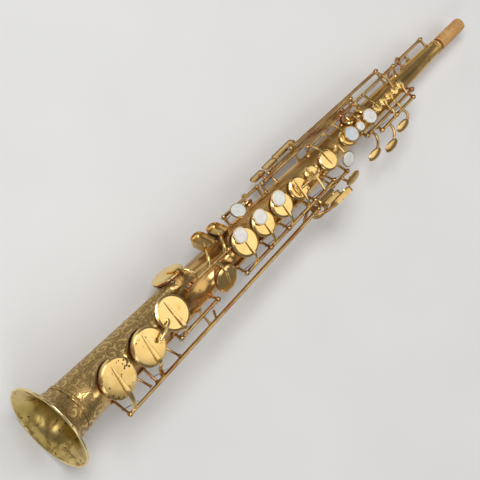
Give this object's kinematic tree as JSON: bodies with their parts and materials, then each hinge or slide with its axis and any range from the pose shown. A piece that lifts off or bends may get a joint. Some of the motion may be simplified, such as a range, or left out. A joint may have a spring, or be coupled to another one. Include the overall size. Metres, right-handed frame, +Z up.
{
  "type": "soprano saxophone",
  "caption": "Straight soprano saxophone without its mouthpiece, with every key on its own hinge over its tone hole; an air column speaks through the bell.",
  "frame": {"origin": "middle of the underside of the bounding box", "axes": "+X along the instrument from the bell to the cork, +Z up out of the front of the keys, lying on its back on the bell rim and the thumb hook"},
  "size_m": [0.6518, 0.094, 0.0939],
  "materials": {
    "old_lacquer": "aged golden lacquer, satin",
    "bright_brass": "polished lacquered brass",
    "steel": "bright drawn rod",
    "pearl": "mother of pearl, polished",
    "cork": "greased sheet cork",
    "pad_leather": "red-brown kid leather",
    "black_resin": "satin"
  },
  "bodies": {
    "horn_body": {"body_tube": "old_lacquer", "bell_flare": "bright_brass", "bell_rim_bead": "bright_brass", "bell_joint_ring": "bright_brass", "neck_ring": "bright_brass", "mouthpiece_cork": "cork", "thumb_hook": "old_lacquer", "thumb_rest": "black_resin", "strap_ring": "old_lacquer", "bell_key_rib": "old_lacquer", "c_sharp_rib": "old_lacquer", "foot_key_rib": "old_lacquer", "right_stack_rib": "old_lacquer", "trill_rib": "old_lacquer", "side_key_rib": "old_lacquer", "table_rib": "old_lacquer", "left_stack_rib": "old_lacquer", "palm_rib": "old_lacquer", "thumb_rib": "old_lacquer", "lower_octave_rib": "old_lacquer", "octave_rib": "old_lacquer", "right_stack_rod": "steel", "left_stack_rod": "steel"},
    "low_b_flat": {"low_b_flat_key": "bright_brass", "low_b_flat_pad": "pad_leather"},
    "low_b": {"low_b_key": "bright_brass", "low_b_pad": "pad_leather"},
    "c_sharp": {"c_sharp_key": "bright_brass"},
    "c_sharp_lever": {"c_sharp_lever": "bright_brass"},
    "low_c": {"low_c_key": "bright_brass", "low_c_pad": "pad_leather"},
    "e_flat": {"e_flat_key": "bright_brass"},
    "d": {"d_key": "bright_brass", "d_pearl": "pearl"},
    "e": {"e_key": "bright_brass", "e_pearl": "pearl"},
    "f": {"f_key": "bright_brass", "f_pearl": "pearl"},
    "f_sharp": {"f_sharp_key": "bright_brass"},
    "f_trill": {"f_trill_key": "bright_brass", "f_trill_pearl": "pearl"},
    "g_sharp": {"g_sharp_key": "bright_brass"},
    "g_sharp_lever": {"g_sharp_lever": "bright_brass"},
    "g": {"g_key": "bright_brass", "g_pearl": "pearl"},
    "a": {"a_key": "bright_brass", "a_pearl": "pearl"},
    "bis": {"bis_key": "bright_brass", "bis_pearl": "pearl"},
    "b": {"b_key": "bright_brass", "b_pearl": "pearl"},
    "side_b_flat": {"side_b_flat_key": "bright_brass"},
    "side_c": {"side_c_key": "bright_brass"},
    "high_e": {"high_e_key": "bright_brass"},
    "palm_d": {"palm_d_key": "bright_brass"},
    "palm_e_flat": {"palm_e_flat_key": "bright_brass"},
    "palm_f": {"palm_f_key": "bright_brass"},
    "octave_lever": {"octave_lever": "bright_brass"},
    "lower_octave": {"lower_octave_key": "bright_brass"},
    "upper_octave": {"upper_octave_key": "bright_brass"}
  },
  "joints": [
    {"name": "low_b_flat_hinge", "type": "hinge", "parent": "horn_body", "child": "low_b_flat", "pos_m": [-0.26207, -0.0404, 0.06249], "axis": [0.9982, 0.0343, -0.0494], "range_deg": [-6, 0], "stiffness_Nm_per_rad": 0.06, "springref_deg": 34.38},
    {"name": "low_b_hinge", "type": "hinge", "parent": "horn_body", "child": "low_b", "pos_m": [-0.21886, -0.0392, 0.05498], "axis": [0.9982, 0.0323, -0.0496], "range_deg": [-6, 0], "stiffness_Nm_per_rad": 0.06, "springref_deg": 34.38},
    {"name": "c_sharp_hinge", "type": "hinge", "parent": "horn_body", "child": "c_sharp", "pos_m": [-0.17408, -0.0243, 0.06021], "axis": [0.9982, 0.0327, -0.0495], "range_deg": [0, 8], "stiffness_Nm_per_rad": 0.03, "springref_deg": -34.38},
    {"name": "c_sharp_lever_hinge", "type": "hinge", "parent": "horn_body", "child": "c_sharp_lever", "pos_m": [-0.13667, -0.0374, 0.04595], "axis": [0.998, 0.0327, -0.0535], "range_deg": [-8, 0], "stiffness_Nm_per_rad": 0.03, "springref_deg": 34.38},
    {"name": "low_c_hinge", "type": "hinge", "parent": "horn_body", "child": "low_c", "pos_m": [-0.13437, 0.0069, 0.06416], "axis": [0.9973, -0.0338, -0.0654], "range_deg": [-5, 0], "stiffness_Nm_per_rad": 0.06, "springref_deg": 34.38},
    {"name": "e_flat_hinge", "type": "hinge", "parent": "horn_body", "child": "e_flat", "pos_m": [-0.13437, 0.0069, 0.06416], "axis": [0.9973, -0.0338, -0.0654], "range_deg": [-9, 0], "stiffness_Nm_per_rad": 0.03, "springref_deg": 34.38},
    {"name": "d_hinge", "type": "hinge", "parent": "horn_body", "child": "d", "pos_m": [-0.07718, -0.0245, 0.05594], "axis": [0.998, 0.0251, -0.0572], "range_deg": [-7, 0], "stiffness_Nm_per_rad": 0.03, "springref_deg": 34.38},
    {"name": "e_hinge", "type": "hinge", "parent": "horn_body", "child": "e", "pos_m": [-0.07718, -0.0245, 0.05594], "axis": [0.998, 0.0251, -0.0572], "range_deg": [-7, 0], "stiffness_Nm_per_rad": 0.03, "springref_deg": 34.38},
    {"name": "f_hinge", "type": "hinge", "parent": "horn_body", "child": "f", "pos_m": [-0.07718, -0.0245, 0.05594], "axis": [0.998, 0.0251, -0.0572], "range_deg": [-7, 0], "stiffness_Nm_per_rad": 0.03, "springref_deg": 34.38},
    {"name": "f_sharp_hinge", "type": "hinge", "parent": "horn_body", "child": "f_sharp", "pos_m": [-0.07718, -0.0245, 0.05594], "axis": [0.998, 0.0251, -0.0572], "range_deg": [-7, 0], "stiffness_Nm_per_rad": 0.03, "springref_deg": 34.38},
    {"name": "f_trill_hinge", "type": "hinge", "parent": "horn_body", "child": "f_trill", "pos_m": [-0.05021, 0.0279, 0.04093], "axis": [0.9988, -0.0283, -0.04], "range_deg": [0, 9], "stiffness_Nm_per_rad": 0.03, "springref_deg": -34.38},
    {"name": "g_sharp_hinge", "type": "hinge", "parent": "horn_body", "child": "g_sharp", "pos_m": [-0.07718, -0.0245, 0.05594], "axis": [0.998, 0.0251, -0.0572], "range_deg": [0, 8], "stiffness_Nm_per_rad": 0.03, "springref_deg": -34.38},
    {"name": "g_sharp_lever_hinge", "type": "hinge", "parent": "horn_body", "child": "g_sharp_lever", "pos_m": [0.06571, -0.026, 0.03883], "axis": [0.9979, 0.0245, -0.0603], "range_deg": [-8, 0], "stiffness_Nm_per_rad": 0.03, "springref_deg": 34.38},
    {"name": "g_hinge", "type": "hinge", "parent": "horn_body", "child": "g", "pos_m": [0.06943, 0.0208, 0.04367], "axis": [0.9976, -0.0151, -0.068], "range_deg": [0, 7], "stiffness_Nm_per_rad": 0.03, "springref_deg": -34.38},
    {"name": "a_hinge", "type": "hinge", "parent": "horn_body", "child": "a", "pos_m": [0.06943, 0.0208, 0.04367], "axis": [0.9976, -0.0151, -0.068], "range_deg": [0, 6.5], "stiffness_Nm_per_rad": 0.03, "springref_deg": -34.38},
    {"name": "bis_hinge", "type": "hinge", "parent": "horn_body", "child": "bis", "pos_m": [0.06943, 0.0208, 0.04367], "axis": [0.9976, -0.0151, -0.068], "range_deg": [0, 6], "stiffness_Nm_per_rad": 0.03, "springref_deg": -34.38},
    {"name": "b_hinge", "type": "hinge", "parent": "horn_body", "child": "b", "pos_m": [0.06943, 0.0208, 0.04367], "axis": [0.9976, -0.0151, -0.068], "range_deg": [0, 6], "stiffness_Nm_per_rad": 0.03, "springref_deg": -34.38},
    {"name": "side_b_flat_hinge", "type": "hinge", "parent": "horn_body", "child": "side_b_flat", "pos_m": [0.00709, 0.0255, 0.03741], "axis": [0.9988, -0.0275, -0.0401], "range_deg": [-9, 0], "stiffness_Nm_per_rad": 0.03, "springref_deg": 34.38},
    {"name": "side_c_hinge", "type": "hinge", "parent": "horn_body", "child": "side_c", "pos_m": [0.02472, 0.027, 0.02862], "axis": [0.9989, -0.0281, -0.0364], "range_deg": [-7, 0], "stiffness_Nm_per_rad": 0.03, "springref_deg": 34.38},
    {"name": "high_e_hinge", "type": "hinge", "parent": "horn_body", "child": "high_e", "pos_m": [0.06088, 0.03, 0.03153], "axis": [0.9985, -0.0287, -0.0476], "range_deg": [-6, 0], "stiffness_Nm_per_rad": 0.03, "springref_deg": 34.38},
    {"name": "palm_d_hinge", "type": "hinge", "parent": "horn_body", "child": "palm_d", "pos_m": [0.15322, -0.0207, 0.03717], "axis": [0.9985, 0.0283, -0.0476], "range_deg": [0, 8], "stiffness_Nm_per_rad": 0.03, "springref_deg": -34.38},
    {"name": "palm_e_flat_hinge", "type": "hinge", "parent": "horn_body", "child": "palm_e_flat", "pos_m": [0.15322, -0.0207, 0.03717], "axis": [0.9985, 0.0283, -0.0476], "range_deg": [0, 8], "stiffness_Nm_per_rad": 0.03, "springref_deg": -34.38},
    {"name": "palm_f_hinge", "type": "hinge", "parent": "horn_body", "child": "palm_f", "pos_m": [0.13337, -0.0135, 0.04105], "axis": [0.9985, 0.0189, -0.0516], "range_deg": [0, 10], "stiffness_Nm_per_rad": 0.03, "springref_deg": -34.38},
    {"name": "octave_lever_hinge", "type": "hinge", "parent": "horn_body", "child": "octave_lever", "pos_m": [0.10303, 0.0095, 0.01116], "axis": [0.9998, -0.0167, -0.0141], "range_deg": [-6, 0], "stiffness_Nm_per_rad": 0.03, "springref_deg": 34.38},
    {"name": "lower_octave_hinge", "type": "hinge", "parent": "horn_body", "child": "lower_octave", "pos_m": [0.13123, -0.0124, 0.01512], "axis": [0.9993, 0.0143, -0.0333], "range_deg": [-8, 0], "stiffness_Nm_per_rad": 0.03, "springref_deg": 34.38},
    {"name": "upper_octave_hinge", "type": "hinge", "parent": "horn_body", "child": "upper_octave", "pos_m": [0.23111, 0.0176, 0.02153], "axis": [0.9991, -0.0099, -0.0416], "range_deg": [0, 8], "stiffness_Nm_per_rad": 0.03, "springref_deg": -34.38}
  ],
  "couplings": [
    {"joint": "c_sharp_hinge", "follows": "c_sharp_lever_hinge", "ratio": -1},
    {"joint": "g_sharp_hinge", "follows": "g_sharp_lever_hinge", "ratio": -1},
    {"joint": "f_sharp_hinge", "follows": "f_hinge", "ratio": 1},
    {"joint": "upper_octave_hinge", "follows": "octave_lever_hinge", "ratio": -1.33}
  ]
}
